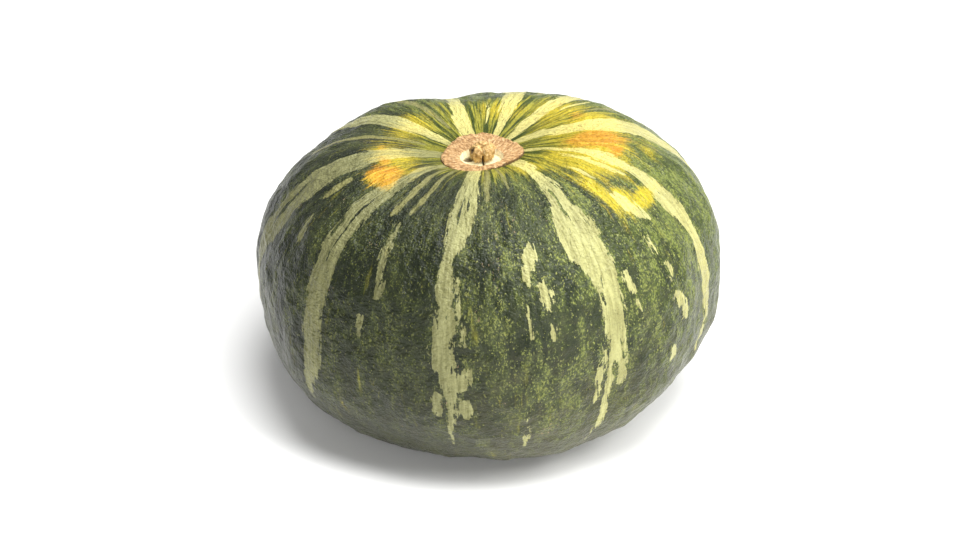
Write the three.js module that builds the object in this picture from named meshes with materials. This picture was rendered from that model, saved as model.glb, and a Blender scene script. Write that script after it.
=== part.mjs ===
// Winter squash (kabocha type): a flattened, ribbed green fruit, with the corky
// button of its stem seated in the hollow at the top. Millimetres, +Z up.
// The origin is the bottom centre of the squash, on the surface that it rests on.

import * as THREE from 'three';

const TAU = Math.PI * 2;
const { clamp, degToRad, euclideanModulo, radToDeg } = THREE.MathUtils;

// ---- Fruit: heights are measured from the centre of its widest ring ----
const FRUIT_RADIUS = 90;
const SHOULDER_HEIGHT = 57; // up to the crown, before the stem hollow
const SHOULDER_SQUARENESS = 2.27; // 2 is an ellipse, and more is boxier
const BELLY_DEPTH = 64.6; // down to the blossom end, before it is flattened
const BELLY_SQUARENESS = 2.6;
const STEM_HOLLOW_DEPTH = 14.6;
const STEM_HOLLOW_REACH = 34.8;
const BLOSSOM_DIMPLE_DEPTH = 3;
const BLOSSOM_DIMPLE_REACH = 11;
const FLAT_SPOT_HEIGHT = -63.2; // the fruit grew flat below this height
const LEAN_ANGLE = degToRad(-2); // about Y, so the stem tips towards -X

// ---- Ribs: shallow creases from the stem to the blossom end, with a lobe after each ----
const CREASE_AZIMUTHS = [-99, -59, -22, 11, 52, 84, 104, 148, 194, 224]; // degrees from +X
const CREASE_DEPTH = 1.2;
const CREASE_HALF_WIDTH = 8.3; // degrees
const LOBE_SWELLS = [0, 0.5, 0.5, 0, -2, 1, 2, 0, -1, -2.5];
const RIB_FADE = 1.5; // power of the radius by which ribs fade out towards the poles

// ---- Uneven growth: an oval plan, and a crown that is higher at its sides ----
const OVAL_ACROSS = -0.007;
const OVAL_DIAGONAL = 0.012;
const CROWN_RISE_TO_RIGHT = 0.03;
const CROWN_RISE_TO_SIDES = 0.04;
const CROWN_RISE_START = 40;
const CROWN_RISE_FULL_HEIGHT = 54;

// ---- Stem: a disc of cork, a pale core set into it, and the dried stub of the stalk ----
const CORK_CENTRE = new THREE.Vector2(-0.2, -2.8);
const CORK_RADIUS = 16.2;
const CORK_OVAL = 1.2;
const CORK_OVAL_AZIMUTH = degToRad(78);
const CORK_FACE_HEIGHT = 46.4;
const CORE_CENTRE = new THREE.Vector2(-0.4, -7.8);
const CORE_RADIUS = 7.8;
const CORE_SINK = 2.1;
const STUB_CENTRE = new THREE.Vector2(-0.4, -4.8);
const STUB_RADIUS = 5.2;
const STUB_HEIGHT = 5.5;
const SEAT_GAP = 0.4;

const FRUIT_RINGS = 38;
const FRUIT_SECTORS = 72;
const STEM_SECTORS = 40;

/** A closed mesh of rings between two poles; pointAt(ring, azimuth) places each point. */
function closedSurface(rings, sectors, pointAt) {
  const positions = [...pointAt(0, 0)];
  for (let ring = 1; ring < rings; ring += 1) {
    for (let sector = 0; sector < sectors; sector += 1) {
      positions.push(...pointAt(ring, (sector / sectors) * TAU));
    }
  }
  positions.push(...pointAt(rings, 0));

  const lastPole = positions.length / 3 - 1;
  const indexOf = (ring, sector) => 1 + (ring - 1) * sectors + (sector % sectors);
  const triangles = [];
  for (let sector = 0; sector < sectors; sector += 1) {
    triangles.push(0, indexOf(1, sector), indexOf(1, sector + 1));
    for (let ring = 1; ring < rings - 1; ring += 1) {
      const here = indexOf(ring, sector);
      const beside = indexOf(ring, sector + 1);
      const below = indexOf(ring + 1, sector);
      const belowBeside = indexOf(ring + 1, sector + 1);
      triangles.push(here, below, belowBeside, here, belowBeside, beside);
    }
    triangles.push(lastPole, indexOf(rings - 1, sector + 1), indexOf(rings - 1, sector));
  }

  const geometry = new THREE.BufferGeometry();
  geometry.setAttribute('position', new THREE.Float32BufferAttribute(positions, 3));
  geometry.setIndex(triangles);
  geometry.computeVertexNormals();
  return geometry;
}

/** Height of the smooth upper rind at a radius, with the hollow round the stem. */
function crownHeight(radius) {
  const reach = Math.min(radius / FRUIT_RADIUS, 1) ** SHOULDER_SQUARENESS;
  const shoulder = SHOULDER_HEIGHT * (1 - reach) ** (1 / SHOULDER_SQUARENESS);
  return shoulder - STEM_HOLLOW_DEPTH * Math.exp(-((radius / STEM_HOLLOW_REACH) ** 2));
}

/** Radius and height of the smooth rind at an angle down from the stem: a superellipse. */
function rindProfile(angle) {
  const isUpper = angle <= Math.PI / 2;
  const squareness = isUpper ? SHOULDER_SQUARENESS : BELLY_SQUARENESS;
  const sine = Math.abs(Math.sin(angle));
  const cosine = Math.abs(Math.cos(angle));
  const scale = (sine ** squareness + cosine ** squareness) ** (-1 / squareness);
  const radius = FRUIT_RADIUS * sine * scale;
  const dimple = BLOSSOM_DIMPLE_DEPTH * Math.exp(-((radius / BLOSSOM_DIMPLE_REACH) ** 2));
  const height = isUpper ? crownHeight(radius) : dimple - BELLY_DEPTH * cosine * scale;
  return { radius, height };
}

/** How far creases and lobes move the rind at an azimuth, as a share of its radius. */
function ribRelief(azimuth) {
  const turnFrom = (centre) => euclideanModulo(radToDeg(azimuth) - centre + 180, 360) - 180;
  let relief = 0;
  CREASE_AZIMUTHS.forEach((crease, index) => {
    relief -= CREASE_DEPTH * Math.exp(-((turnFrom(crease) / CREASE_HALF_WIDTH) ** 2));
    const nextCrease = CREASE_AZIMUTHS[index + 1] ?? CREASE_AZIMUTHS[0] + 360;
    const halfLobe = (nextCrease - crease) / 2;
    const acrossLobe = turnFrom(crease + halfLobe) / halfLobe;
    if (Math.abs(acrossLobe) < 1) {
      relief += LOBE_SWELLS[index] * Math.cos((acrossLobe * Math.PI) / 2) ** 2;
    }
  });
  return relief / FRUIT_RADIUS;
}

/** A point of the ribbed rind, leaning as the fruit grew and flat where it rested. */
function rindPoint(ring, azimuth) {
  const { radius, height } = rindProfile((ring / FRUIT_RINGS) * Math.PI);
  const relief = ribRelief(azimuth) * (radius / FRUIT_RADIUS) ** RIB_FADE;
  const oval = OVAL_ACROSS * Math.cos(2 * azimuth) + OVAL_DIAGONAL * Math.sin(2 * azimuth);
  const rise = CROWN_RISE_TO_RIGHT * Math.cos(azimuth) + CROWN_RISE_TO_SIDES * Math.cos(2 * azimuth);
  const riseShare = clamp(height / CROWN_RISE_FULL_HEIGHT, 0, 1)
    * (1 - Math.exp(-((radius / CROWN_RISE_START) ** 4)));

  const grownRadius = radius * (1 + oval + relief);
  const point = new THREE.Vector3(
    grownRadius * Math.cos(azimuth),
    grownRadius * Math.sin(azimuth),
    height * (1 + relief + rise * riseShare),
  );
  point.applyAxisAngle(new THREE.Vector3(0, 1, 0), LEAN_ANGLE);
  point.z = Math.max(point.z, FLAT_SPOT_HEIGHT);
  return point;
}

/** The stem's outline from the top of the stub, out over the cork and back underneath. */
function stemStations() {
  const coreHeight = CORK_FACE_HEIGHT - CORE_SINK;
  const stubTop = coreHeight + STUB_HEIGHT;
  const onStub = (radius, height) => ({ centre: STUB_CENTRE, radius, oval: 0, height });
  const onCore = (radius, height) => ({ centre: CORE_CENTRE, radius, oval: 0, height });
  const onCork = (share, height) => (
    { centre: CORK_CENTRE, radius: share * CORK_RADIUS, oval: share * CORK_OVAL, height }
  );
  const onSeat = (share) => onCork(share, null); // a gap above the rind, wherever that is
  return [
    onStub(0, stubTop),
    onStub(0.45 * STUB_RADIUS, stubTop - 0.2),
    onStub(0.8 * STUB_RADIUS, stubTop - 0.9),
    onStub(STUB_RADIUS, stubTop - 2.4),
    onStub(0.95 * STUB_RADIUS, coreHeight + 1.2),
    onStub(1.1 * STUB_RADIUS, coreHeight),
    onCore(CORE_RADIUS, coreHeight),
    onCore(CORE_RADIUS + 0.7, CORK_FACE_HEIGHT - 0.4),
    onCork(0.72, CORK_FACE_HEIGHT - 0.1),
    onCork(0.92, CORK_FACE_HEIGHT),
    onCork(1, CORK_FACE_HEIGHT - 0.5),
    onSeat(1),
    onSeat(0.66),
    onSeat(0.33),
    onSeat(0),
  ];
}

/** The stem as one closed solid, about the fruit's upright axis before it leans. */
function stemGeometry() {
  const stations = stemStations();
  return closedSurface(stations.length - 1, STEM_SECTORS, (ring, azimuth) => {
    const { centre, radius, oval, height } = stations[ring];
    const reach = radius + oval * Math.cos(2 * (azimuth - CORK_OVAL_AZIMUTH));
    const x = centre.x + reach * Math.cos(azimuth);
    const y = centre.y + reach * Math.sin(azimuth);
    return new THREE.Vector3(x, y, height ?? crownHeight(Math.hypot(x, y)) + SEAT_GAP);
  });
}

/** A named solid of one material. */
function piece(name, geometry, colour, roughness) {
  const material = new THREE.MeshStandardMaterial({ color: colour, roughness, metalness: 0 });
  const mesh = new THREE.Mesh(geometry, material);
  mesh.name = name;
  return mesh;
}

const fruit = piece('fruit', closedSurface(FRUIT_RINGS, FRUIT_SECTORS, rindPoint), 0x4e5a34, 0.45);
const stem = piece('stem', stemGeometry(), 0xcdaa78, 0.9);
stem.rotation.y = LEAN_ANGLE;

// Both stand on the flat spot, centred under the fruit.
fruit.geometry.computeBoundingBox();
const fruitBox = fruit.geometry.boundingBox;
const fruitMiddle = fruitBox.getCenter(new THREE.Vector3());

const squash = new THREE.Group();
squash.position.set(-fruitMiddle.x, -fruitMiddle.y, -fruitBox.min.z);
squash.add(fruit, stem);

export default squash;
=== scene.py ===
# A whole winter squash of the kabocha type on a white studio floor: a flattened green fruit
# with pale stripes, and the corky button of its stem seated in the hollow at the top.
import math

import bpy
import numpy as np
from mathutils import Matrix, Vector


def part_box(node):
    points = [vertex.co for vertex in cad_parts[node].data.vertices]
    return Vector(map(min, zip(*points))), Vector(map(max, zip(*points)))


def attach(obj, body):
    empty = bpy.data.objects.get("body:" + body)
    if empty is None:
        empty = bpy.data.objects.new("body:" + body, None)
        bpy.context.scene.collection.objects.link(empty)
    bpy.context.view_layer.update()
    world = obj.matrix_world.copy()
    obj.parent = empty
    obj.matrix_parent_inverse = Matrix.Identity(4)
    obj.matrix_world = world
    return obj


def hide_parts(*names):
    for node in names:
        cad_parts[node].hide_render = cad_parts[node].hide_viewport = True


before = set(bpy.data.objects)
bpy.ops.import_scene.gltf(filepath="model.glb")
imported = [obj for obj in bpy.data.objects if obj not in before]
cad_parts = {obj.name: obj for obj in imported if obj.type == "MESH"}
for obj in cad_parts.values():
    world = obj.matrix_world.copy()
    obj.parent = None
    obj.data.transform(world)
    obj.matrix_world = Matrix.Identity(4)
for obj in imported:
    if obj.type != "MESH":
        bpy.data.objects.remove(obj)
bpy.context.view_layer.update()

scene = bpy.context.scene
scene.view_settings.view_transform = "Standard"

# ---- Camera ----
# A long lens on a tripod, in front of the squash and about 27 degrees above it, the way that
# small goods are usually shown.
CAMERA_TARGET = Vector((-0.0033, -0.0002, 0.0573))
CAMERA_ELEVATION = math.radians(27.3)
CAMERA_DISTANCE = 0.914
CAMERA_LENS_MM = 87.8

camera = bpy.data.objects.new("camera", bpy.data.cameras.new("camera"))
scene.collection.objects.link(camera)
camera.data.lens = CAMERA_LENS_MM
camera.data.sensor_width = 36
camera.data.clip_start = 0.01
towards_camera = Vector((0, -math.cos(CAMERA_ELEVATION), math.sin(CAMERA_ELEVATION)))
camera.location = CAMERA_TARGET + CAMERA_DISTANCE * towards_camera
camera.rotation_euler = towards_camera.to_track_quat("Z", "Y").to_euler()
scene.camera = camera

# ---- Fruit ----
# The whole fruit as it grew: a hard, waxy rind over firm flesh, flattened from stem to blossom
# end, creased from pole to pole, and flat where it rested. The rind is dark green, mottled with
# yellow-green, and each crease carries a pale, ragged stripe.
# Sizes are in millimetres, and azimuths and widths round the stem are in degrees.
MM = 0.001
FRUIT_RADIUS = 90
SHOULDER_HEIGHT = 57
SHOULDER_SQUARENESS = 2.27
BELLY_DEPTH = 64.6
BELLY_SQUARENESS = 2.6
STEM_HOLLOW_DEPTH = 14.6
STEM_HOLLOW_REACH = 34.8
BLOSSOM_DIMPLE_DEPTH = 3
BLOSSOM_DIMPLE_REACH = 11
FLAT_SPOT_HEIGHT = -63.2
LEAN_ANGLE = math.radians(-2)

CREASE_AZIMUTHS = [-99, -59, -22, 11, 52, 84, 104, 148, 194, 224]
CREASE_DEPTH = 1.2
CREASE_HALF_WIDTH = 8.3
LOBE_SWELLS = [0, 0.5, 0.5, 0, -2, 1, 2, 0, -1, -2.5]
RIB_FADE = 1.5

OVAL_ACROSS = -0.007
OVAL_DIAGONAL = 0.012
CROWN_RISE_TO_RIGHT = 0.03
CROWN_RISE_TO_SIDES = 0.04
CROWN_RISE_START = 40
CROWN_RISE_FULL_HEIGHT = 54

LUMPS = [(48, 0.55), (17, 0.22), (8, 0.11), (4.6, 0.07)]  # each a width and a height
LUMPS_START = 30

FRUIT_ROWS = 200
FRUIT_SECTORS = 478
SCAR_RADIUS = 4.5


def crown_height(radius):
    """Height of the smooth upper rind: a superellipse of the radius, less a bell-shaped hollow."""
    reach = np.clip(radius / FRUIT_RADIUS, 0, 1) ** SHOULDER_SQUARENESS
    shoulder = SHOULDER_HEIGHT * (1 - reach) ** (1 / SHOULDER_SQUARENESS)
    return shoulder - STEM_HOLLOW_DEPTH * np.exp(-((radius / STEM_HOLLOW_REACH) ** 2))


def rind_profile(angle):
    """Radius and height at an angle down from the stem: one superellipse above the widest ring
    and a boxier one below it, with a bell-shaped hollow at one pole and a dimple at the other."""
    is_upper = angle <= math.pi / 2
    squareness = np.where(is_upper, SHOULDER_SQUARENESS, BELLY_SQUARENESS)
    sine = np.abs(np.sin(angle))
    cosine = np.abs(np.cos(angle))
    scale = (sine**squareness + cosine**squareness) ** (-1 / squareness)
    radius = FRUIT_RADIUS * sine * scale
    dimple = BLOSSOM_DIMPLE_DEPTH * np.exp(-((radius / BLOSSOM_DIMPLE_REACH) ** 2))
    height = np.where(is_upper, crown_height(radius), dimple - BELLY_DEPTH * cosine * scale)
    return radius, height


def turn_between(azimuth, centre):
    """Signed angle in degrees from centre round to azimuth, the short way."""
    return (azimuth - centre + 180) % 360 - 180


def rib_relief(azimuth):
    """Share of the radius by which the rind stands out at an azimuth in degrees: a bell-shaped
    crease at each crease azimuth, and a squared cosine across each lobe between two of them."""
    relief = np.zeros_like(azimuth)
    next_creases = CREASE_AZIMUTHS[1:] + [CREASE_AZIMUTHS[0] + 360]
    for crease, next_crease, swell in zip(CREASE_AZIMUTHS, next_creases, LOBE_SWELLS):
        relief -= CREASE_DEPTH * np.exp(-((turn_between(azimuth, crease) / CREASE_HALF_WIDTH) ** 2))
        half_lobe = (next_crease - crease) / 2
        across = np.clip(turn_between(azimuth, crease + half_lobe) / half_lobe, -1, 1)
        relief += swell * np.cos(across * math.pi / 2) ** 2
    return relief / FRUIT_RADIUS


def lumps(points, wavelength, seed, waves=48):
    """Smooth random relief of about unit size: the mean of many plane waves of one wavelength
    that run in random directions, each from a random phase."""
    rng = np.random.default_rng(seed)
    directions = rng.normal(size=(waves, 3))
    directions *= 2 * math.pi / wavelength / np.linalg.norm(directions, axis=1, keepdims=True)
    phases = rng.uniform(0, 2 * math.pi, waves)
    total = np.zeros(points.shape[:-1])
    for direction, phase in zip(directions, phases):
        total += np.sin(points @ direction + phase)
    return total * math.sqrt(2 / waves)


def lean(points):
    """Turn points about Y by the angle at which the fruit stands."""
    x, y, z = np.moveaxis(points, -1, 0)
    cosine, sine = math.cos(LEAN_ANGLE), math.sin(LEAN_ANGLE)
    return np.stack([cosine * x + sine * z, y, cosine * z - sine * x], -1)


def rind_points(angle, azimuth):
    """Points of the fruit in millimetres from the centre of its widest ring. The profile is
    carried round the axis, made oval, ribbed and uneven at the crown, roughened with lumps of
    several sizes, leaned, and pressed flat where it rested."""
    turn = np.radians(azimuth)
    radius, height = rind_profile(angle)
    relief = rib_relief(azimuth) * (radius / FRUIT_RADIUS) ** RIB_FADE
    oval = OVAL_DIAGONAL * np.sin(2 * turn) + OVAL_ACROSS * np.cos(2 * turn)
    rise = CROWN_RISE_TO_RIGHT * np.cos(turn) + CROWN_RISE_TO_SIDES * np.cos(2 * turn)
    rise_share = np.clip(height / CROWN_RISE_FULL_HEIGHT, 0, 1)
    rise_share = rise_share * (1 - np.exp(-((radius / CROWN_RISE_START) ** 4)))
    grown_radius = radius * (1 + oval + relief)
    grown_height = height * (1 + relief + rise * rise_share)
    points = np.stack([grown_radius * np.cos(turn), grown_radius * np.sin(turn), grown_height], -1)
    fade = np.clip(radius / LUMPS_START, 0, 1) ** 2
    swelling = np.zeros(points.shape[:-1])
    for seed, (lump_width, lump_height) in enumerate(LUMPS, start=3):
        swelling += lump_height * lumps(points, lump_width, seed)
    outward = points / np.linalg.norm(points, axis=-1, keepdims=True)
    points = lean(points + outward * (fade * swelling)[..., None])
    points[..., 2] = np.maximum(points[..., 2], FLAT_SPOT_HEIGHT)
    return points


def grown_mesh(name, points, fields=()):
    """Closed mesh from a grid of points in millimetres: rows of rings between two poles. Each
    field is a name and its values on the grid, kept as an attribute of the points."""
    rows, sectors = points.shape[:2]

    def flat(grid):
        return np.concatenate([grid[:1, 0], grid[1:-1].reshape(-1, *grid.shape[2:]), grid[-1:, 0]])

    vertices = flat(points) * MM
    here = 1 + np.arange((rows - 2) * sectors).reshape(rows - 2, sectors)
    beside = np.roll(here, -1, axis=1)
    sides = np.stack([here[:-1], here[1:], beside[1:], beside[:-1]], -1).reshape(-1, 4)
    top = np.stack([np.zeros(sectors, int), here[0], beside[0]], -1)
    bottom = np.stack([np.full(sectors, len(vertices) - 1), beside[-1], here[-1]], -1)
    mesh = bpy.data.meshes.new(name)
    mesh.from_pydata(vertices, [], top.tolist() + sides.tolist() + bottom.tolist())
    mesh.shade_smooth()
    for field_name, values in fields:
        values = flat(values)
        is_vector = values.ndim == 2
        kind, key = ("FLOAT_VECTOR", "vector") if is_vector else ("FLOAT", "value")
        mesh.attributes.new(field_name, kind, "POINT").data.foreach_set(key, values.astype("f").ravel())
    piece = bpy.data.objects.new(name, mesh)
    scene.collection.objects.link(piece)
    return piece


def smooth_between(place, places, values):
    """Curve through values given at places: a cubic Hermite whose slopes are the mean slopes of
    the spans on each side, held level past both ends."""
    slopes = np.gradient(values, places)
    place = np.clip(place, places[0], places[-1])
    span = np.clip(np.searchsorted(places, place, side="right") - 1, 0, len(places) - 2)
    length = places[span + 1] - places[span]
    t = (place - places[span]) / length
    rise = values[span + 1] - values[span]
    start = t**3 - 2 * t**2 + t
    end = t**3 - t**2
    return (
        values[span]
        + rise * (3 * t**2 - 2 * t**3)
        + length * (slopes[span] * start + slopes[span + 1] * end)
    )


RIND_MM_PER_DEGREE = math.radians(1) * FRUIT_RADIUS
MARK_END_STEEPNESS = 2
FARTHEST_FROM_EDGE = 9.0


def mark_depth(mark, along, azimuth):
    """Depth in millimetres inside a mark on the rind, negative outside it: the mark's half width
    less the distance across from its middle line, and falling away past its two ends. A mark is
    a list of places down from the stem, each with an azimuth and a half width in degrees."""
    places, middles, half_widths = np.array(mark, float).T
    middle = smooth_between(along, places, middles)
    half_width = np.interp(along, places, half_widths)
    depth = (half_width - np.abs(turn_between(azimuth, middle))) * RIND_MM_PER_DEGREE
    past_end = np.maximum(places[0] - along, along - places[-1])
    return depth - MARK_END_STEEPNESS * np.maximum(past_end, 0)


def deepest(marks, along, azimuth):
    """Depth inside the union of several marks, held at a farthest distance from an edge."""
    depth = np.full(along.shape, -FARTHEST_FROM_EDGE)
    for mark in marks:
        depth = np.maximum(depth, mark_depth(mark, along, azimuth))
    return np.minimum(depth, FARTHEST_FROM_EDGE)


# Each point of a mark: millimetres down the rind from the stem's axis, azimuth, half width.
STRIPES = [
    # the front stripe, with its right-hand arm and side patches
    [(16, -98.5, 9), (22, -98.3, 6.6), (30, -97, 4.8), (50, -97.4, 4.9), (62, -98, 4.2),
     (70, -98.4, 2.7), (76, -100, 1.7), (84, -100.3, 2.1), (98, -99.8, 1.9), (106, -100.2, 2.6),
     (115, -100.3, 2.8), (121, -99.6, 2), (130, -98.7, 1.4), (140, -99, 0.7), (157, -99.8, 0.2)],
    [(84, -97.2, 0.4), (96, -96.6, 0.5), (104, -95.6, 0.8), (110, -95.3, 0.5)],
    [(118, -94.6, 0.6), (123, -95.4, 1.9), (128, -96.5, 1)],
    [(129, -101.8, 1.2), (136, -102, 1.4), (138, -102, 0.6)],
    [(131, -96, 1), (135, -95.5, 1.8), (139, -95.2, 1.6)],
    # the broad stripe at the front right, which splits into three low down
    [(16, -42, 9), (22, -48, 7.5), (26, -51.5, 6), (30, -53, 5.6), (36, -56.6, 3), (40, -57.2, 3.5),
     (46, -57.8, 4.1), (52, -58.8, 4.1), (58, -59.9, 3.9), (63, -60.2, 5.2), (70, -60.2, 6.2),
     (80, -60.4, 6), (86, -59.4, 4.6), (91, -58.5, 3.5), (96, -58, 2.9), (104, -58, 2.6),
     (113, -57.8, 2.5), (121, -57.7, 2.2), (124, -57.8, 1.6)],
    [(116, -59.2, 0.8), (135, -59.6, 0.8), (145, -60.2, 0.9), (155, -61, 0.8), (166, -63, 0.2)],
    [(118, -56.4, 1), (126, -56.2, 0.9), (133, -56.3, 1.3), (136, -56.4, 0.6)],
    [(117, -61.6, 0.3), (124, -61.8, 0.7), (127, -62.4, 1), (134, -62.2, 0.7), (142, -63, 0.4)],
    # the right-hand stripe, with a short companion
    [(16, 0, 4), (20, -4, 4), (25, -8.5, 3.4), (30, -12.6, 3), (35, -16.6, 3.1), (40, -20, 3.6),
     (46, -21.8, 3.6), (52, -22.3, 3.4), (60, -22.6, 2.2), (66, -22.2, 2.2), (74, -22, 3.4),
     (83, -21.9, 3.6), (88, -20.8, 2.3), (98, -20.2, 2), (106, -20.8, 2.4), (116, -19.8, 2.5),
     (124, -19.9, 1.7), (134, -20, 0.9), (146, -21, 0.3)],
    [(30, -20, 1), (36, -25, 1.6), (45, -28.6, 2), (56, -28.5, 1.6), (62, -27.8, 0.6)],
    # round the far right and the back
    [(16, 35, 6), (20, 31, 6), (25, 25.6, 5), (30, 19.5, 5.2), (36, 14, 6.4), (42, 11, 7.1),
     (50, 10, 7.2), (60, 11.2, 7), (72, 12, 6.2), (85, 12, 5), (100, 11, 3.6), (115, 11.5, 2.8),
     (130, 11, 1.5), (150, 10, 0.3)],
    [(16, 50, 5.5), (28, 50, 5.5), (40, 49.5, 5), (50, 49.5, 4.2), (62, 51, 3.6), (80, 52, 3.2),
     (100, 51.5, 2.9), (120, 52.5, 2.4), (140, 52, 1.1), (155, 51, 0.2)],
    [(16, 72, 5.2), (28, 72.5, 4.6), (40, 74, 5), (50, 75.4, 4.6), (65, 79, 4), (80, 82, 3),
     (105, 84, 3), (125, 83.6, 1.9), (148, 84, 0.3)],
    [(18, 86, 0.6), (30, 86, 1.1), (40, 87, 0.2)],
    [(16, 109, 10), (22, 109.8, 8.6), (28, 108.4, 6.6), (33, 106.6, 4.6), (40, 105, 3.8),
     (50, 104, 2.7), (62, 104, 2.4), (80, 104, 3), (100, 103, 3.3), (118, 104, 2.6),
     (136, 104.6, 1.4), (156, 104, 0.2)],
    [(16, 147, 6.6), (28, 147, 6.2), (40, 148.5, 6.6), (50, 149, 6), (60, 148.5, 4.5), (75, 148, 3.4),
     (95, 147.6, 3), (115, 148.6, 2.6), (130, 148, 1.7), (150, 147.6, 0.3)],
    # the two on the left
    [(16, 189, 10.5), (26, 190, 10), (34, 192.5, 8.4), (42, 194.6, 6.8), (50, 195.7, 6.5),
     (60, 195.5, 6.2), (70, 194.8, 5.6), (80, 192.9, 5.4), (90, 191.8, 5), (98, 190.6, 4),
     (106, 188.6, 2.7), (118, 188, 1.8), (132, 188, 1), (150, 187, 0.2)],
    [(16, 224.6, 5), (22, 224.4, 4.4), (30, 223.5, 4.6), (38, 226, 3.1), (46, 226.4, 3.3),
     (54, 224.4, 4.8), (62, 224.6, 4.6), (72, 225, 3.6), (84, 225, 3.4), (94, 225, 3.5),
     (104, 224.8, 2.7), (114, 224.8, 2.9), (124, 224.7, 3.1), (132, 223.8, 2.4), (138, 222.4, 1.6),
     (147, 221.3, 0.4)],
]
# Dark green slivers inside the stripes.
SLIVERS = [
    [(43, -98.3, 0.1), (47, -98.3, 0.5), (60, -98.9, 0.4), (62, -98.9, 0.1)],
    [(44, -96.2, 0.1), (50, -96.2, 0.5), (55, -96, 0.1)],
    [(48, -59.8, 0.2), (50, -59.8, 0.5), (60, -60.4, 0.5), (71, -60.6, 0.2)],
    [(43, -55.6, 0.1), (47, -55.7, 0.5), (51, -55.9, 0.1)],
    [(32, -52.5, 0.5), (37, -51, 2.6), (41, -51.5, 2.6), (44, -52, 0.8)],
    [(68, 192.5, 0.1), (76, 192, 0.7), (88, 190.8, 0.6), (97, 190.2, 0.1)],
    [(49, 225, 0.2), (58, 224.8, 0.55), (72, 225, 0.4), (87, 225.2, 0.1)],
]
# Small pale flecks between the stripes, in front, and repeated at the back.
FLECKS = [
    [(63, -119, 0.2), (68, -118.6, 0.8), (76, -118.6, 1.1), (84, -118.7, 0.8), (89, -117.7, 0.9),
     (95, -117.8, 0.5)],
    [(72, -76.4, 0.9), (76, -77.2, 2.3), (80, -77.6, 1.7), (84, -78.8, 1), (88, -78.8, 0.6)],
    [(87, -75.5, 0.5), (91, -75.4, 1.3), (95, -75, 1.4), (99, -74.9, 0.4)],
    [(95, -79.7, 0.3), (102, -79.7, 0.5), (108, -79.7, 0.2)],
    [(103, -74.8, 0.3), (106, -74.4, 0.8), (109, -74.8, 0.4)],
    [(137, -81.3, 0.3), (150, -81.3, 0.5), (157, -81.3, 0.2)],
    [(92, -52.3, 1), (97, -52, 1.2), (101, -51.6, 0.5)],
    [(104, -50.8, 0.3), (108, -50.6, 0.5)],
    [(84, -40.6, 0.6), (90, -40.2, 0.8), (92, -40, 0.3)],
    [(96, -38.6, 0.5), (100, -38.2, 1.3), (103, -39, 0.6)],
    [(108, -38.4, 1.2), (112, -36.6, 1.6), (117, -35, 1), (121, -34.6, 0.5)],
    [(129, -40.4, 0.9), (133, -39.8, 1.2), (135, -39.8, 0.4)],
    [(64, -40.2, 0.8), (68, -39.2, 2.6), (72, -38.6, 2.6), (76, -37.2, 1.8), (80, -35.4, 1)],
    [(41, -40.6, 0.3), (48, -40.2, 1.1), (55, -40, 0.5)],
    [(103, -121.6, 0.7), (108, -121.8, 0.8), (111, -122, 0.3)],
    [(74, -150.8, 0.3), (79, -150.4, 0.9), (84, -149.8, 1.1), (88, -150, 0.4)],
]
FLECKS_BEHIND = [[(place, -azimuth, half) for place, azimuth, half in fleck] for fleck in FLECKS]
# Softer yellow-green streaks near the stem.
STREAKS = [
    [(22, -125, 1.4), (45, -124, 1.7), (61, -123.4, 1)],
    [(22, -117, 1.2), (45, -117, 1.5), (58, -116.8, 0.8)],
    [(22, -86, 1.6), (36, -87.5, 1.8), (48, -88, 1)],
    [(20, -76, 1.6), (34, -76.5, 1.2), (42, -77, 0.5)],
    [(56, -153, 1.4), (62, -153.4, 1.7), (68, -153.8, 0.8)],
    [(24, 124, 1.6), (40, 126, 1.8), (66, 127, 1)],
    [(24, 168, 1.6), (44, 170, 2), (70, 171, 1)],
    [(46, 30, 1.2), (62, 31, 1.6), (84, 31, 0.8)],
    [(52, 66, 1), (70, 67, 1.4), (90, 67, 0.6)],
]
# Blotches: azimuth, place down from the stem, reach in azimuth, reach along, strength.
AMBER_BLOTCHES = [
    (-6, 44, 14, 14, 1.2), (-16, 53, 7, 5, 0.9), (2, 45, 8, 6, 0.7), (-27, 52, 6, 6, 0.55),
    (27, 41, 9, 6, 0.7), (47, 43, 6, 4, 0.7),
    (-146, 45, 12, 9, 1.1), (-138, 48, 4, 5, 1), (-158, 40, 12, 4, 0.75), (-176, 39, 8, 4, 0.6),
]
LEMON_BLOTCHES = [
    (-24, 43, 20, 18, 1.1), (10, 42, 22, 17, 0.85), (38, 38, 20, 14, 0.65), (-4, 64, 12, 8, 0.4),
    (-43, 60, 3, 16, 0.9), (-30, 73, 10, 4, 0.95), (-38, 69, 5, 7, 0.8), (-52, 28, 18, 10, 0.55),
    (-160, 36, 26, 10, 0.7), (-146, 48, 12, 6, 0.6),
    (150, 34, 24, 9, 0.6), (75, 34, 20, 9, 0.6),
]


def blotched(blotches, along, azimuth):
    """Strength of the nearest of several blotches, each a bell shape about its own centre."""
    strength = np.zeros(along.shape)
    for centre, place, reach_round, reach_along, peak in blotches:
        across = turn_between(azimuth, centre) / reach_round
        down = (along - place) / reach_along
        strength = np.maximum(strength, peak * np.exp(-(across**2) - down**2))
    return strength


SWIRL = 20
SWIRL_AZIMUTH = -5
SWIRL_HALF_WIDTH = 52
SWIRL_START = 44
SWIRL_FULL = 20


def growth_swirl(along, azimuth):
    """Degrees by which the growth turns near the stem: a bell shape about the right-hand side,
    growing as a power of the distance up from the shoulder."""
    near_stem = np.clip((SWIRL_START - along) / (SWIRL_START - SWIRL_FULL), 0, 1.3) ** 1.5
    across = turn_between(azimuth, SWIRL_AZIMUTH) / SWIRL_HALF_WIDTH
    return SWIRL * near_stem * np.exp(-(across**2))


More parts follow.
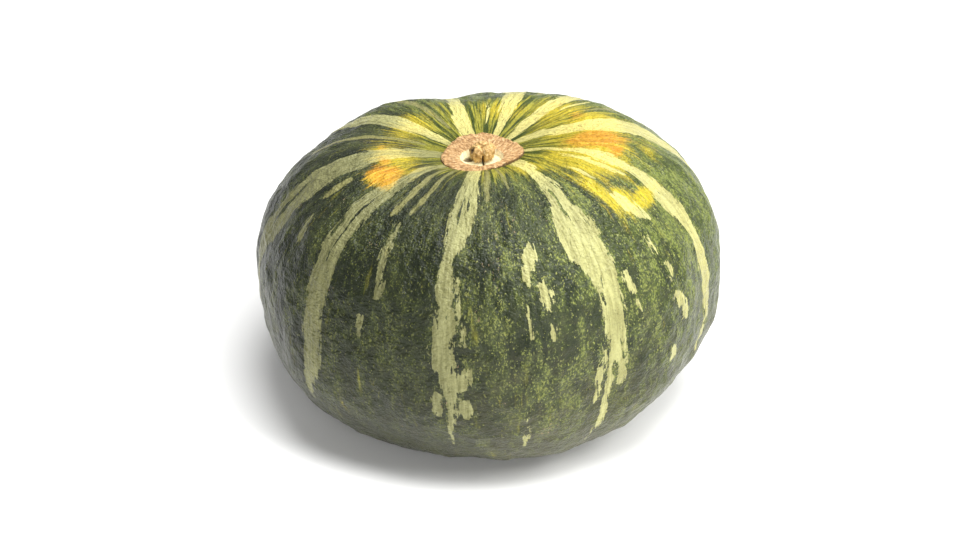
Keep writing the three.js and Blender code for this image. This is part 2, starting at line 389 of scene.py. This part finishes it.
angles = np.linspace(0, math.pi, FRUIT_ROWS)
profile_radius, profile_height = rind_profile(angles)
steps = np.hypot(np.diff(profile_radius), np.diff(profile_height))
down_rind = np.concatenate([[0], np.cumsum(steps)])
azimuths = np.arange(FRUIT_SECTORS) * 360 / FRUIT_SECTORS
along, azimuth = np.meshgrid(down_rind, azimuths, indexing="ij")
fruit_points = rind_points(np.repeat(angles[:, None], FRUIT_SECTORS, 1), azimuth)

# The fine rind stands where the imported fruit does: over the same middle, on the same floor.
low_corner, high_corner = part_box("fruit")
fine_points = fruit_points.reshape(-1, 3)
fruit_shift = np.array((low_corner + high_corner) / 2) / MM
fruit_shift -= (fine_points.min(0) + fine_points.max(0)) / 2
fruit_shift[2] = low_corner.z / MM - FLAT_SPOT_HEIGHT

# Where each look lies on the rind: the stripes, streaks and blotches, the colour round the stem,
# the side towards the key lamp (painted light), the one away from it (painted shade), and the blossom
# end.
SLIVER_STEEPNESS = 3
LIT_SIDE_AZIMUTH = 35
PAINTED_SHADE_AZIMUTH = -155
PAINTED_SHADE_REACH = 85
PAINTED_SHADE_SOFTNESS = 40
STEM_COLOUR_REACH = 38
LIT_SIDE_EXTRA_REACH = 20
STEM_COLOUR_SOFTNESS = 28
UNDERSIDE_START = 150
grown_turn = np.radians(azimuth - growth_swirl(along, azimuth))
ribs = [FRUIT_RADIUS * np.cos(grown_turn), FRUIT_RADIUS * np.sin(grown_turn), along]
stripe_depth = deepest(STRIPES + FLECKS + FLECKS_BEHIND, along, azimuth)
stripe_depth = np.minimum(stripe_depth, -SLIVER_STEEPNESS * deepest(SLIVERS, along, azimuth))
# Painted light: the share of the side towards the key lamp, painted lighter, greener and warmer.
lit_side = 0.5 + 0.5 * np.cos(np.radians(azimuth - LIT_SIDE_AZIMUTH))
# Painted shade: the share of the side away from the key lamp, painted darker and duller.
from_painted_shade = np.abs(turn_between(azimuth, PAINTED_SHADE_AZIMUTH))
painted_shade_side = np.clip((PAINTED_SHADE_REACH - from_painted_shade) / PAINTED_SHADE_SOFTNESS, 0, 1)
# Painted light: the olive round the stem reaches farther down the side towards the key lamp.
stem_reach = STEM_COLOUR_REACH + LIT_SIDE_EXTRA_REACH * lit_side
stem_share = np.clip((stem_reach - along) / STEM_COLOUR_SOFTNESS, 0, 1)
from_blossom = np.where(along > UNDERSIDE_START, profile_radius[:, None], FRUIT_RADIUS)

fruit = grown_mesh(
    "squash_fruit",
    fruit_points + fruit_shift,
    [
        ("rind_place", np.stack(ribs, -1)),
        ("stripe_depth", stripe_depth),
        ("streak_depth", deepest(STREAKS, along, azimuth)),
        ("amber_share", blotched(AMBER_BLOTCHES, along, azimuth)),
        ("lemon_share", blotched(LEMON_BLOTCHES, along, azimuth)),
        ("stem_share", stem_share),
        ("lit_side", lit_side),
        ("painted_shade_side", painted_shade_side),
        ("from_blossom", from_blossom),
    ],
)


def colour(text):
    """Linear RGBA of an sRGB hex colour."""
    values = [int(text[i : i + 2], 16) / 255 for i in (1, 3, 5)]
    return [v / 12.92 if v <= 0.04045 else ((v + 0.055) / 1.055) ** 2.4 for v in values] + [1]


def add_node(tree, kind, inputs=None, **settings):
    """Add a node with its settings. inputs maps a socket's name or number to a value, to a
    socket, or to a node, whose first live output is linked. Returns the node."""
    node = tree.nodes.new(kind)
    for setting, value in settings.items():
        setattr(node, setting, value)
    for socket, value in (inputs or {}).items():
        if isinstance(value, bpy.types.Node):
            value = next(output for output in value.outputs if output.enabled)
        if isinstance(value, bpy.types.NodeSocket):
            tree.links.new(value, node.inputs[socket])
        else:
            node.inputs[socket].default_value = value
    return node


def new_material(name):
    """An empty node material, and its tree."""
    material = bpy.data.materials.new(name)
    material.use_nodes = True
    material.node_tree.nodes.clear()
    return material, material.node_tree


def mottle(tree, place, size, stretch=1.0, seed=0.0, detail=3.0):
    """Noise about 0, mostly within 1 of it, of a size in millimetres across the ribs, and drawn
    out along them by a stretch."""
    scale = (1 / size, 1 / size, 1 / size / stretch)
    inputs = {"Vector": place, "Scale": scale, "Location": (seed,) * 3}
    spread = add_node(tree, "ShaderNodeMapping", inputs)
    inputs = {"Vector": spread, "Scale": 1.0, "Detail": detail, "Roughness": 0.6}
    cloud = add_node(tree, "ShaderNodeTexNoise", inputs).outputs["Fac"]
    inputs = {"Value": cloud, "From Min": 0.3, "From Max": 0.7, "To Min": -1.0, "To Max": 1.0}
    return add_node(tree, "ShaderNodeMapRange", inputs, clamp=False)


def weigh(tree, *parts):
    """The sum of several values, each multiplied by its own weight."""
    total = 0.0
    for value, weight in parts:
        inputs = {0: value, 1: weight, 2: total}
        total = add_node(tree, "ShaderNodeMath", inputs, operation="MULTIPLY_ADD")
    return total


def lay_over(tree, skin, tint, level, soft=0.3, strength=1.0):
    """Skin with a tint laid over it at a strength where a level is above zero, over an edge that
    is soft by so much on each side."""
    inputs = {"Value": level, "From Min": -soft, "From Max": soft, "To Max": strength}
    share = add_node(tree, "ShaderNodeMapRange", inputs, interpolation_type="SMOOTHSTEP")
    return add_node(tree, "ShaderNodeMix", {0: share, 6: skin, 7: tint}, data_type="RGBA")


# Squash rind: living skin with a thin natural wax. It is satin and nearly black-green, with
# clusters of yellow-green grains that run from pole to pole. The finest real grains are too fine
# to show, so the grains are drawn at 0.75 mm and more.
rind, tree = new_material("waxy_squash_rind")
place, stripe_level, streak_level, amber_level, lemon_level, stem_level, lit_side_share, painted_shade, blossom = [
    add_node(tree, "ShaderNodeAttribute", attribute_name=name).outputs[output]
    for name, output in [
        ("rind_place", "Vector"), ("stripe_depth", "Fac"), ("streak_depth", "Fac"),
        ("amber_share", "Fac"), ("lemon_share", "Fac"), ("stem_share", "Fac"),
        ("lit_side", "Fac"), ("painted_shade_side", "Fac"), ("from_blossom", "Fac"),
    ]
]
down = add_node(tree, "ShaderNodeSeparateXYZ", {0: place}).outputs["Z"]
grains = mottle(tree, place, 0.75, 1.3, seed=7, detail=2)
fine_streaks = mottle(tree, place, 1.4, 9, seed=3)
broad_streaks = mottle(tree, place, 3.0, 7, seed=4)
root_streaks = mottle(tree, place, 6, 5, seed=6)
clusters = mottle(tree, place, 3.6, 2.1, seed=31, detail=4)
patches = mottle(tree, place, 9, 2.4, seed=33, detail=2)

# Dark ground and its yellow-green grains, and tan where it was scuffed. Painted light makes it
# greener and lighter on the side towards the key lamp, painted shade makes it darker on the side
# away from it, and painted bounce light from the white floor makes it grey-brown low down.
skin = colour("#262d1e")
skin = lay_over(tree, skin, colour("#3c432a"), mottle(tree, place, 15, 2.2, seed=2), 0.8)
patch_level = weigh(tree, (patches, 0.7), (clusters, 0.6), (grains, 0.3), (1.0, -0.1))
skin = lay_over(tree, skin, colour("#565e38"), patch_level, 0.45, 0.85)
# Painted light: more yellow-green grains on the side towards the key lamp.
grain_level = weigh(tree, (patches, 0.45), (clusters, 0.45), (grains, 1.1), (lit_side_share, 0.55), (1.0, -0.8))
skin = lay_over(tree, skin, colour("#888f4a"), grain_level, 0.22, 0.85)
pale_specks = mottle(tree, place, 0.95, 1.3, seed=57, detail=1)
speck_level = weigh(tree, (pale_specks, 1.0), (patches, 0.25), (1.0, -0.85))
skin = lay_over(tree, skin, colour("#9fa258"), speck_level, 0.15, 0.75)
# Painted light: a lighter green over the side towards the key lamp.
lit_side_level = weigh(tree, (lit_side_share, 1.0), (clusters, 0.35), (1.0, -0.65))
skin = lay_over(tree, skin, colour("#69792c"), lit_side_level, 0.5, 0.35)
dark_grains = weigh(tree, (mottle(tree, place, 0.9, 1.5, seed=51, detail=2), 1.0), (1.0, -0.5))
skin = lay_over(tree, skin, colour("#232a1b"), dark_grains, 0.25, 0.6)
# Painted bounce light: grey-brown over the lower rind, where the white floor lights it.
floor_bounce_level = weigh(tree, (down, 0.02), (mottle(tree, place, 7, 0.6, seed=9), 0.5), (1.0, -2.75))
skin = lay_over(tree, skin, colour("#4f4d38"), floor_bounce_level, 1.0, 0.78)
# Painted shade: darker ground on the side away from the key lamp.
painted_shade_level = weigh(tree, (painted_shade, 1.0), (1.0, -0.5))
skin = lay_over(tree, skin, colour("#1d2217"), painted_shade_level, 0.5, 0.55)
scuff_grains = mottle(tree, place, 1.1, 1.2, seed=81)
scuff_level = weigh(tree, (scuff_grains, 1.0), (mottle(tree, place, 14, 1, seed=83), 0.9), (1.0, -1.55))
skin = lay_over(tree, skin, colour("#a88f70"), scuff_level, 0.25, 0.7)

# Olive and yellow-green round the stem, drawn out in thin streaks, and a few streaks below it.
streaks = weigh(tree, (fine_streaks, 0.4), (broad_streaks, 0.6), (root_streaks, 0.9))
olive = lay_over(tree, colour("#3e4c17"), colour("#a9a43c"), streaks, 0.35)
stem_edge = weigh(tree, (stem_level, 1.3), (mottle(tree, place, 4, 5, seed=11), 0.45), (1.0, -0.6))
skin = lay_over(tree, skin, olive, stem_edge, 0.4, 0.92)
streak_edge = weigh(tree, (streak_level, 1.0), (mottle(tree, place, 2, 4, seed=5), 1.4), (grains, 0.5))
skin = lay_over(tree, skin, colour("#8f8c58"), streak_edge, 0.9, 0.8)

# Ripened blotches: lemon, then amber over it.
blotch_edge = mottle(tree, place, 3.5, 2, seed=19, detail=4)
lemon_streaks = weigh(tree, (fine_streaks, 0.7), (grains, 0.4))
lemon = lay_over(tree, colour("#a0972a"), colour("#e4c934"), lemon_streaks, 0.9)
ragged = weigh(tree, (broad_streaks, 0.45), (blotch_edge, 0.2), (grains, 0.15))
lemon_edge = weigh(tree, (lemon_level, 2.1), (ragged, 1.0), (1.0, -0.95))
skin = lay_over(tree, skin, lemon, lemon_edge, 0.6, 0.9)
amber_streaks = weigh(tree, (fine_streaks, 0.6), (broad_streaks, 0.5))
amber = lay_over(tree, colour("#bf7f22"), colour("#e3b03c"), amber_streaks, 0.7)
ragged = weigh(tree, (broad_streaks, 0.2), (blotch_edge, 0.3), (grains, 0.15))
amber_edge = weigh(tree, (amber_level, 1.65), (ragged, 1.0), (1.0, -1.1))
skin = lay_over(tree, skin, amber, amber_edge, 0.4, 0.92)

# Pale stripes, whose edges step along the ribs, with painted shade that makes them duller on the
# side away from the key lamp and low down, and painted light that makes them warmer and lighter
# towards it. Green grains and dashes run in them.
pale_streaks = weigh(tree, (fine_streaks, 1.0), (grains, 0.35))
pale = lay_over(tree, colour("#918f5d"), colour("#b9b87e"), pale_streaks, 0.9)
pale_in_painted_shade = lay_over(tree, colour("#5f6040"), colour("#7b7b57"), pale_streaks, 0.9)
bright_level = weigh(tree, (stem_level, 1.0), (1.0, -0.35))
pale = lay_over(tree, pale, colour("#e6df8c"), bright_level, 0.6, 0.85)
# Painted light: warmer, lighter stripes on the side towards the key lamp.
lit_warm_level = weigh(tree, (lit_side_share, 1.0), (stem_level, 0.6), (1.0, -0.9))
pale = lay_over(tree, pale, colour("#d8ca76"), lit_warm_level, 0.6, 0.45)
# Painted shade: duller stripes on the side away from the key lamp and low down.
painted_shade_dull_level = weigh(tree, (painted_shade, 1.9), (down, 0.006), (1.0, -1.7))
pale = lay_over(tree, pale, pale_in_painted_shade, painted_shade_dull_level, 0.8, 0.8)
pale = lay_over(tree, pale, colour("#f0dc78"), lemon_edge, 0.6, 0.6)
pale = lay_over(tree, pale, amber, amber_edge, 0.5, 0.45)
green_grains = weigh(tree, (grains, 1.0), (fine_streaks, -0.5), (1.0, -0.85))
pale = lay_over(tree, pale, colour("#5f6139"), green_grains, 0.25, 0.6)
green_dashes = weigh(tree, (mottle(tree, place, 1.2, 5, seed=91), 1.0), (clusters, 0.4), (1.0, -1.0))
pale = lay_over(tree, pale, colour("#4c5330"), green_dashes, 0.15, 0.9)
stripe_edge = weigh(
    tree,
    (stripe_level, 1.0),
    (mottle(tree, place, 1.7, 6, seed=41), 1.5),
    (weigh(tree, (fine_streaks, stem_level)), 1.2),
    (weigh(tree, (root_streaks, stem_level)), 4.0),
    (mottle(tree, place, 1.8, 1.4, seed=42), 0.9),
    (mottle(tree, place, 0.7, 1.6, seed=43), 0.4),
)
skin = lay_over(tree, skin, pale, stripe_edge, 0.28)

# The corky scar that the flower left.
scar_edge = weigh(tree, (blossom, -1.0), (mottle(tree, place, 2, 1, seed=61), 0.6), (1.0, SCAR_RADIUS))
skin = lay_over(tree, skin, colour("#7c6544"), scar_edge, 0.3)

# Relief: dents a few millimetres wide, with the pale clusters standing slightly proud, and
# shallow pores. Pores are drawn at about a millimetre, coarser than real ones, so that they show.
DENT_DEPTH = 0.45
PORE_DEPTH = 0.1
dents = weigh(tree, (mottle(tree, place, 4.2, 0.8, seed=67, detail=2), 0.8), (clusters, 0.25))
pores = mottle(tree, place, 1.1, 0.7, seed=71, detail=2)
inputs = {"Height": dents, "Strength": 1.0, "Distance": DENT_DEPTH * MM}
dented = add_node(tree, "ShaderNodeBump", inputs)
inputs = {"Height": pores, "Strength": 1.0, "Distance": PORE_DEPTH * MM, "Normal": dented}
skin_relief = add_node(tree, "ShaderNodeBump", inputs)
wax_patches = mottle(tree, place, 6, 1.5, seed=73)
inputs = {"Value": wax_patches, "From Min": -1.0, "To Min": 0.25, "To Max": 0.38}
gloss = add_node(tree, "ShaderNodeMapRange", inputs)
inputs = {"Base Color": skin, "Roughness": gloss, "IOR": 1.28, "Normal": skin_relief}
shader = add_node(tree, "ShaderNodeBsdfPrincipled", inputs)
add_node(tree, "ShaderNodeOutputMaterial", {"Surface": shader})
fruit.data.materials.append(rind)
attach(fruit, "root")
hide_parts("fruit")

# ---- Stem ----
# What is left of the stalk: a button of dry cork that healed over where it came away, with the
# pale core of the stalk set into it, and the knobbly dried stub standing in the core.
CORK_CENTRE = np.array([-0.2, -2.8])
CORK_RADIUS = 16.2
CORK_WAVES = [(1, 0.75, -161), (2, 1.29, 72), (3, 1.07, -6), (4, 0.48, 5)]
CORK_FACE_HEIGHT = 46.4
CORK_SEAT_DEPTH = 1.6
CORK_UNDERSIDE_DROP = 1.2
EDGE_DROP = 0.6
RIM_DROP = 0.5
RIM_REACH = 0.18
FLAT_SHARE = 0.97
CORE_ROUGHNESS = 0.05
FACE_ROUGHNESS = 0.08
EDGE_ROUGHNESS = 0.18
CORE_CENTRE = np.array([-0.4, -7.8])
CORE_RADIUS = 7.8
CORE_SINK = 2.1
HOLLOW_PLACE = CORE_CENTRE + np.array([-5.2, 2.0])
HOLLOW_RADIUS = 2.1
HOLLOW_DEPTH = 0.9
STUB_CENTRE = np.array([-0.4, -4.8])
STUB_RADIUS = 5.2
STUB_HEIGHT = 5.5
STUB_SINK = 1.5
STUB_SQUARENESS = 3.2
WAIST_LEVEL = -1.9
WAIST_HALF_WIDTH = 1.5
CLEFT_AZIMUTH = math.radians(-84)
CLEFT_HALF_WIDTH = 0.42
CLEFT_TOP = 3.6
CLEFT_FADE = 1.2
CLEFT_LEAST_SHARE = 0.12
CLEFT_DEPTH_IN_CORE = 0.7
CLEFT_DEPTH_IN_STUB = 1.1
LOBE_VALLEY_HALF_WIDTH = 1.2
LOBE_VALLEY_DEPTH = 0.7
STUB_PIT_PLACE = np.array([-4.4, -6.0, 48.4])
STUB_PIT_RADIUS = 1.9
STUB_PIT_DEPTH = 0.9
STEM_SECTORS = 240


def cork_outline(turn):
    """Radius of the cork at an azimuth: a circle with four waves, of one to four lobes."""
    radius = np.full_like(turn, CORK_RADIUS)
    for lobes, height, azimuth_of_peak in CORK_WAVES:
        radius += height * np.cos(lobes * (turn - math.radians(azimuth_of_peak)))
    return radius


def in_cleft(points, half_width):
    """How deep points lie in a cleft of a half width that splits the stub and runs out over the
    core, as a share: a bell shape across the line through the stub's centre, on the side
    towards the cleft's azimuth only."""
    x, y = points[..., 0] - STUB_CENTRE[0], points[..., 1] - STUB_CENTRE[1]
    forwards = x * math.cos(CLEFT_AZIMUTH) + y * math.sin(CLEFT_AZIMUTH)
    sideways = y * math.cos(CLEFT_AZIMUTH) - x * math.sin(CLEFT_AZIMUTH)
    side_share = 1 / (1 + np.exp(-2 * (forwards + 1.5)))
    return side_share * np.exp(-((sideways / half_width) ** 2))


# The cork: rows run out over the core, up its rim, over the cork's face, down its edge into the
# rind and back underneath. Shares are of the way from the core's rim to the cork's outline.
core_height = CORK_FACE_HEIGHT - CORE_SINK
core_rows = np.linspace(0, 1, 34)
face_rows = np.linspace(0.04, FLAT_SHARE, 46)
edge_rows = np.linspace(0, math.pi / 2, 9)[1:]
under_rows = np.linspace(1, 0, 16)[1:]
edge_share = FLAT_SHARE + (1 - FLAT_SHARE) * np.sin(edge_rows)
share = np.concatenate([core_rows * 0, face_rows, edge_share, under_rows * 0 + 1])
inner = np.concatenate([core_rows, face_rows * 0 + 1, edge_rows * 0 + 1, under_rows])
seat_height = CORK_FACE_HEIGHT - CORK_SEAT_DEPTH
rim_drop = RIM_DROP * (1 - np.clip(face_rows / RIM_REACH, 0, 1)) ** 2
height = np.concatenate([
    core_rows * 0 + core_height,
    CORK_FACE_HEIGHT - rim_drop - EDGE_DROP * face_rows**6,
    seat_height + (CORK_SEAT_DEPTH - EDGE_DROP) * np.cos(edge_rows),
    under_rows * 0 + seat_height - CORK_UNDERSIDE_DROP,
])
turn = np.arange(STEM_SECTORS) * 2 * math.pi / STEM_SECTORS
around = np.stack([np.cos(turn), np.sin(turn)], -1)
core_edge = CORE_CENTRE + CORE_RADIUS * around
cork_edge = CORK_CENTRE + cork_outline(turn)[:, None] * around
plan = core_edge + share[:, None, None] * (cork_edge - core_edge)
plan = CORE_CENTRE + inner[:, None, None] * (plan - CORE_CENTRE)
cork_points = np.concatenate([plan, np.repeat(height[:, None, None], STEM_SECTORS, 1)], -1)

face_share = np.repeat((share * (inner == 1))[:, None], STEM_SECTORS, 1)
is_upper = np.arange(len(share)) < len(core_rows) + len(face_rows) + len(edge_rows) // 2
roughness = np.where(face_share > 0, FACE_ROUGHNESS + EDGE_ROUGHNESS * face_share, CORE_ROUGHNESS)
roughness = roughness * is_upper[:, None]
relief = 0.6 * lumps(cork_points, 3.1, seed=11) + 0.3 * lumps(cork_points, 1.5, seed=12, waves=80)
cork_points[..., 2] += roughness * relief
hollow_distance = np.linalg.norm(cork_points[..., :2] - HOLLOW_PLACE, axis=-1)
hollow = np.exp(-((hollow_distance / HOLLOW_RADIUS) ** 4)) * (face_share == 0)
core_cleft = in_cleft(cork_points, CLEFT_HALF_WIDTH)
sunk = HOLLOW_DEPTH * hollow + CLEFT_DEPTH_IN_CORE * core_cleft * (face_share < 0.05)
cork_points[..., 2] -= sunk * is_upper[:, None]

# The grain runs outwards: its place is round a circle of middling size, and out from the core.
GRAIN_CIRCLE_RADIUS = 9
grain_round = np.repeat(GRAIN_CIRCLE_RADIUS * around[None], len(share), 0)
grain_out = np.linalg.norm(cork_points[..., :2] - CORE_CENTRE, axis=-1)
# The hollow field marks the hollow and the cleft in the core, which get painted shade.
cork = grown_mesh(
    "stem_cork",
    lean(cork_points) + fruit_shift,
    [
        ("grain_place", np.concatenate([grain_round, grain_out[..., None]], -1)),
        ("face_share", face_share),
        ("hollow", hollow + core_cleft * (face_share == 0)),
    ],
)

# The stub: a boxy knob with a waist, fuller on its right, split low in front by the cleft, with
# a shallow valley between the two lobes, a pit in the left one, and wrinkles round it.
stub_angle = np.linspace(0, math.pi, 90)[:, None]
stub_turn = turn[None]
sine, cosine = np.sin(stub_angle), np.cos(stub_angle)
boxy = (np.abs(sine) ** STUB_SQUARENESS + np.abs(cosine) ** STUB_SQUARENESS) ** (-1 / STUB_SQUARENESS)
half_height = (STUB_HEIGHT + STUB_SINK) / 2
right_lobe = np.clip(np.cos(stub_turn) + 0.4, 0, 1)
stub_level = half_height * cosine * boxy * (0.95 + 0.05 * right_lobe)
lopsided = 1 + 0.07 * np.cos(stub_turn) - 0.05 * np.cos(2 * stub_turn)
from_waist = (stub_level - WAIST_LEVEL) / WAIST_HALF_WIDTH
waist = (0.06 + 0.2 * right_lobe) * np.exp(-(from_waist**2))
stub_reach = STUB_RADIUS * sine * boxy * lopsided * (1 - waist)
stub_middle = np.append(STUB_CENTRE, core_height - STUB_SINK + half_height)
stub_points = stub_middle + np.stack(
    [stub_reach * np.cos(stub_turn), stub_reach * np.sin(stub_turn), stub_level], -1
)
outward = stub_points - stub_middle
outward /= np.linalg.norm(outward, axis=-1, keepdims=True)
swelling = 0.26 * lumps(stub_points, 4.2, seed=21) + 0.1 * lumps(stub_points, 1.6, seed=22)
swelling = swelling + 0.1 * np.cos(11 * stub_turn + 2 * np.sin(3 * stub_turn))
below_top = core_height + CLEFT_TOP - stub_points[..., 2]
cleft_share = np.clip(below_top / CLEFT_FADE, CLEFT_LEAST_SHARE, 1)
split = in_cleft(stub_points, CLEFT_HALF_WIDTH) * cleft_share
pit = np.exp(-np.sum((stub_points - STUB_PIT_PLACE) ** 2, -1) / STUB_PIT_RADIUS**2)
valley = in_cleft(stub_points, LOBE_VALLEY_HALF_WIDTH)
sunk = CLEFT_DEPTH_IN_STUB * split + LOBE_VALLEY_DEPTH * valley + STUB_PIT_DEPTH * pit
stub_points += outward * (swelling - sunk)[..., None]
stub_height = stub_points[..., 2] - core_height
# The cleft field marks the cleft and the pit, which get painted shade.
stub = grown_mesh(
    "stem_stub",
    lean(stub_points) + fruit_shift,
    [("cleft", split + pit), ("above_core", stub_height), ("stub_place", stub_points)],
)

# Cork: dead, dry stalk tissue. It is matt and tan, with a fine grain that runs outwards, darker
# specks and pits near the edge, and a cream core like fresh wood. Fibres and crumbs are drawn
# at half a millimetre and more, coarser than real ones, so that they show.
CORK_GRAIN_DEPTH = 0.12
STUB_GRAIN_DEPTH = 0.2
cork_skin, tree = new_material("dry_stem_cork")
grain_at, face, hollow_shade = [
    add_node(tree, "ShaderNodeAttribute", attribute_name=name).outputs[output]
    for name, output in [("grain_place", "Vector"), ("face_share", "Fac"), ("hollow", "Fac")]
]
fibres = mottle(tree, grain_at, 0.5, 5, seed=13)
crumbs = mottle(tree, grain_at, 0.8, 1.2, seed=17)
flesh = lay_over(tree, colour("#987348"), colour("#c79f6c"), fibres, 0.6)
light_crumbs = weigh(tree, (crumbs, 0.7), (fibres, 0.5), (1.0, -0.4))
flesh = lay_over(tree, flesh, colour("#e0c092"), light_crumbs, 0.5, 0.7)
speck_level = weigh(tree, (mottle(tree, grain_at, 1.1, 1.6, seed=23), 1.0), (face, 0.55), (1.0, -0.85))
flesh = lay_over(tree, flesh, colour("#6d4c2c"), speck_level, 0.3, 0.7)
# Painted shade: a dark brown line round the cork's outer edge, where it meets the rind.
painted_rim_shade = weigh(tree, (face, 1.0), (crumbs, 0.02), (1.0, -0.975))
flesh = lay_over(tree, flesh, colour("#4a3a24"), painted_rim_shade, 0.02, 0.8)
cream = lay_over(tree, colour("#ddcf98"), colour("#efe6c0"), fibres, 1.0)
core_rim = weigh(tree, (face, 1.0), (crumbs, 0.02), (1.0, -0.05))
flesh = lay_over(tree, cream, flesh, core_rim, 0.03)
# Painted shade in the hollow and the cleft of the core.
hollow_shade_level = weigh(tree, (hollow_shade, 1.0), (crumbs, 0.1), (1.0, -0.5))
flesh = lay_over(tree, flesh, colour("#4d3b26"), hollow_shade_level, 0.3, 0.85)
relief = weigh(tree, (fibres, 0.5), (crumbs, 1.0))
inputs = {"Height": relief, "Strength": 0.6, "Distance": CORK_GRAIN_DEPTH * MM}
cork_relief = add_node(tree, "ShaderNodeBump", inputs)
inputs = {"Base Color": flesh, "Roughness": 0.85, "IOR": 1.4, "Normal": cork_relief}
shader = add_node(tree, "ShaderNodeBsdfPrincipled", inputs)
add_node(tree, "ShaderNodeOutputMaterial", {"Surface": shader})
cork.data.materials.append(cork_skin)

# Stub: the stalk's own dried wood, warmer and browner than the cork, with painted shade in the cleft
# and the pit.
stub_skin, tree = new_material("dried_stalk_wood")
stub_at, cleft_level, above = [
    add_node(tree, "ShaderNodeAttribute", attribute_name=name).outputs[output]
    for name, output in [("stub_place", "Vector"), ("cleft", "Fac"), ("above_core", "Fac")]
]
knots = mottle(tree, stub_at, 1.3, 1.2, seed=27)
bark = lay_over(tree, colour("#a07a44"), colour("#d6b273"), knots, 0.8)
light_flakes = weigh(tree, (mottle(tree, stub_at, 0.9, seed=29), 1.0), (1.0, -0.6))
bark = lay_over(tree, bark, colour("#ecd9a6"), light_flakes, 0.3, 0.7)
dark_knots = weigh(tree, (knots, -1.0), (above, 0.1), (1.0, -1.35))
bark = lay_over(tree, bark, colour("#5c4326"), dark_knots, 0.3, 0.7)
# Painted shade in the cleft and the pit.
cleft_shade = weigh(tree, (cleft_level, 1.0), (1.0, -0.5))
bark = lay_over(tree, bark, colour("#35281a"), cleft_shade, 0.3, 0.9)
inputs = {"Height": knots, "Strength": 0.7, "Distance": STUB_GRAIN_DEPTH * MM}
stub_relief = add_node(tree, "ShaderNodeBump", inputs)
inputs = {"Base Color": bark, "Roughness": 0.75, "IOR": 1.4, "Normal": stub_relief}
shader = add_node(tree, "ShaderNodeBsdfPrincipled", inputs)
add_node(tree, "ShaderNodeOutputMaterial", {"Surface": shader})
stub.data.materials.append(stub_skin)

for piece in (cork, stub):
    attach(piece, "root")
    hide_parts("stem")

# ---- Floor and lights ----
# A sheet of white paper in an even white room. Two soft lamps light only the squash, a broad one
# high behind its right side and a weaker one low at the front right. Three more light only the
# paper, from the front and right, so that the shadow falls short and to the left.
ROOM_STRENGTH = 0.34
PAPER_HALF_WIDTH = 4.0
LAMP_DISTANCE = 2.0

paper_corners = [(x, y, 0) for x, y in ((-1, -1), (1, -1), (1, 1), (-1, 1))]
floor = bpy.data.objects.new("floor", bpy.data.meshes.new("floor"))
floor.data.from_pydata(PAPER_HALF_WIDTH * np.array(paper_corners), [], [(0, 1, 2, 3)])
scene.collection.objects.link(floor)

# Matt white paper: uncoated, so it gives soft light back and no gleam.
paper, tree = new_material("white_paper")
shader = add_node(tree, "ShaderNodeBsdfPrincipled", {"Base Color": colour("#f4f4f3"), "Roughness": 0.9})
add_node(tree, "ShaderNodeOutputMaterial", {"Surface": shader})
floor.data.materials.append(paper)

room = bpy.data.worlds.new("white_room")
room.use_nodes = True
room.node_tree.nodes["Background"].inputs["Strength"].default_value = ROOM_STRENGTH
room.node_tree.nodes["Background"].inputs["Color"].default_value = (1, 1, 1, 1)
scene.world = room


def soft_lamp(name, azimuth, elevation, diameter, level, lit):
    """A round lamp that faces the squash from a direction in degrees. Its level is how bright it
    makes white paper that faces it, and it lights only the objects in lit."""
    lamp = bpy.data.objects.new(name, bpy.data.lights.new(name, "AREA"))
    lamp.data.shape = "DISK"
    lamp.data.size = diameter
    lamp.data.energy = level * (math.pi * LAMP_DISTANCE) ** 2
    turn, rise = math.radians(azimuth), math.radians(elevation)
    across = math.cos(rise)
    towards = Vector((across * math.cos(turn), across * math.sin(turn), math.sin(rise)))
    lamp.location = CAMERA_TARGET + LAMP_DISTANCE * towards
    lamp.rotation_euler = towards.to_track_quat("Z", "Y").to_euler()
    scene.collection.objects.link(lamp)
    receivers = bpy.data.collections.new(name + "_lights")
    for lit_object in lit:
        receivers.objects.link(lit_object)
    lamp.light_linking.receiver_collection = receivers


soft_lamp("key_lamp", 34, 66, diameter=1.3, level=1.7, lit=[fruit, cork, stub])
soft_lamp("fill_lamp", -58, 24, diameter=0.6, level=0.58, lit=[fruit, cork, stub])
soft_lamp("paper_lamp", -74, 64, diameter=0.9, level=1.15, lit=[floor])
soft_lamp("low_paper_lamp", -45, 44, diameter=0.9, level=0.8, lit=[floor])
soft_lamp("front_paper_lamp", -85, 20, diameter=0.9, level=0.42, lit=[floor])
